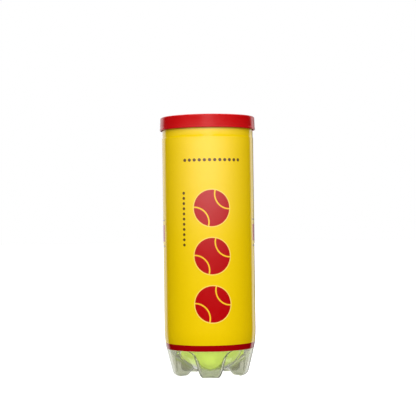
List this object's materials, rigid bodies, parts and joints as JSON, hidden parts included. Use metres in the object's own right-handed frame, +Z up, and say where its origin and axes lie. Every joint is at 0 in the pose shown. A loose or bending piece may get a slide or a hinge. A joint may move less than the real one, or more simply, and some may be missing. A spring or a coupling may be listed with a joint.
{
  "type": "tennis ball can",
  "caption": "Clear five-footed can with a printed sleeve, seamed ring-pull end and red snap lid, holding a stack of felt-covered tennis balls.",
  "frame": {"origin": "on the can's axis, in the plane of the foot pads", "axes": "+Z up along the can's axis, -Y to the front, where a foot and the ring pull's rivet lie, +X to the right"},
  "size_m": [0.078, 0.078, 0.21],
  "materials": {
    "clear_plastic": "gloss",
    "sleeve_film": "gloss",
    "end_metal": "satin",
    "sealing_compound": "matte",
    "panel_metal": "satin",
    "tab_metal": "polished",
    "lid_plastic": "gloss",
    "core_rubber": "matte",
    "ball_felt": "matte",
    "seam_cement": "matte"
  },
  "bodies": {
    "can": {"can_body": "clear_plastic", "label_sleeve": "sleeve_film", "end_ring": "end_metal", "seam_compound": "sealing_compound"},
    "ball_1": {"ball_1_core_upper": "core_rubber", "ball_1_core_lower": "core_rubber", "ball_1_felt_a": "ball_felt", "ball_1_felt_b": "ball_felt", "ball_1_seam": "seam_cement"},
    "ball_2": {"ball_2_core_upper": "core_rubber", "ball_2_core_lower": "core_rubber", "ball_2_felt_a": "ball_felt", "ball_2_felt_b": "ball_felt", "ball_2_seam": "seam_cement"},
    "ball_3": {"ball_3_core_upper": "core_rubber", "ball_3_core_lower": "core_rubber", "ball_3_felt_a": "ball_felt", "ball_3_felt_b": "ball_felt", "ball_3_seam": "seam_cement"},
    "panel": {"tear_panel": "panel_metal", "tab_tongue": "tab_metal"},
    "ring_pull": {"pull_tab": "tab_metal"},
    "lid": {"overcap": "lid_plastic"}
  },
  "joints": [
    {"name": "ball_1_lift", "type": "slide", "parent": "can", "child": "ball_1", "axis": [0, 0, 1], "range_m": [0, 0.206]},
    {"name": "ball_2_lift", "type": "slide", "parent": "ball_1", "child": "ball_2", "axis": [0, 0, 1], "range_m": [0, 0.14]},
    {"name": "ball_3_lift", "type": "slide", "parent": "ball_2", "child": "ball_3", "axis": [0, 0, 1], "range_m": [0, 0.075]},
    {"name": "panel_lift", "type": "slide", "parent": "ball_3", "child": "panel", "axis": [0, 0, 1], "range_m": [0, 0.04]},
    {"name": "lid_lift", "type": "slide", "parent": "panel", "child": "lid", "axis": [0, 0, 1], "range_m": [0, 0.05]},
    {"name": "ring_pull_hinge", "type": "hinge", "parent": "panel", "child": "ring_pull", "pos_m": [0, -0.0306, 0.20435], "axis": [1, 0, 0], "range_deg": [0, 85]}
  ],
  "couplings": [
    {"joint": "ring_pull_hinge", "follows": "lid_lift", "rad_per_m": 29.6}
  ]
}
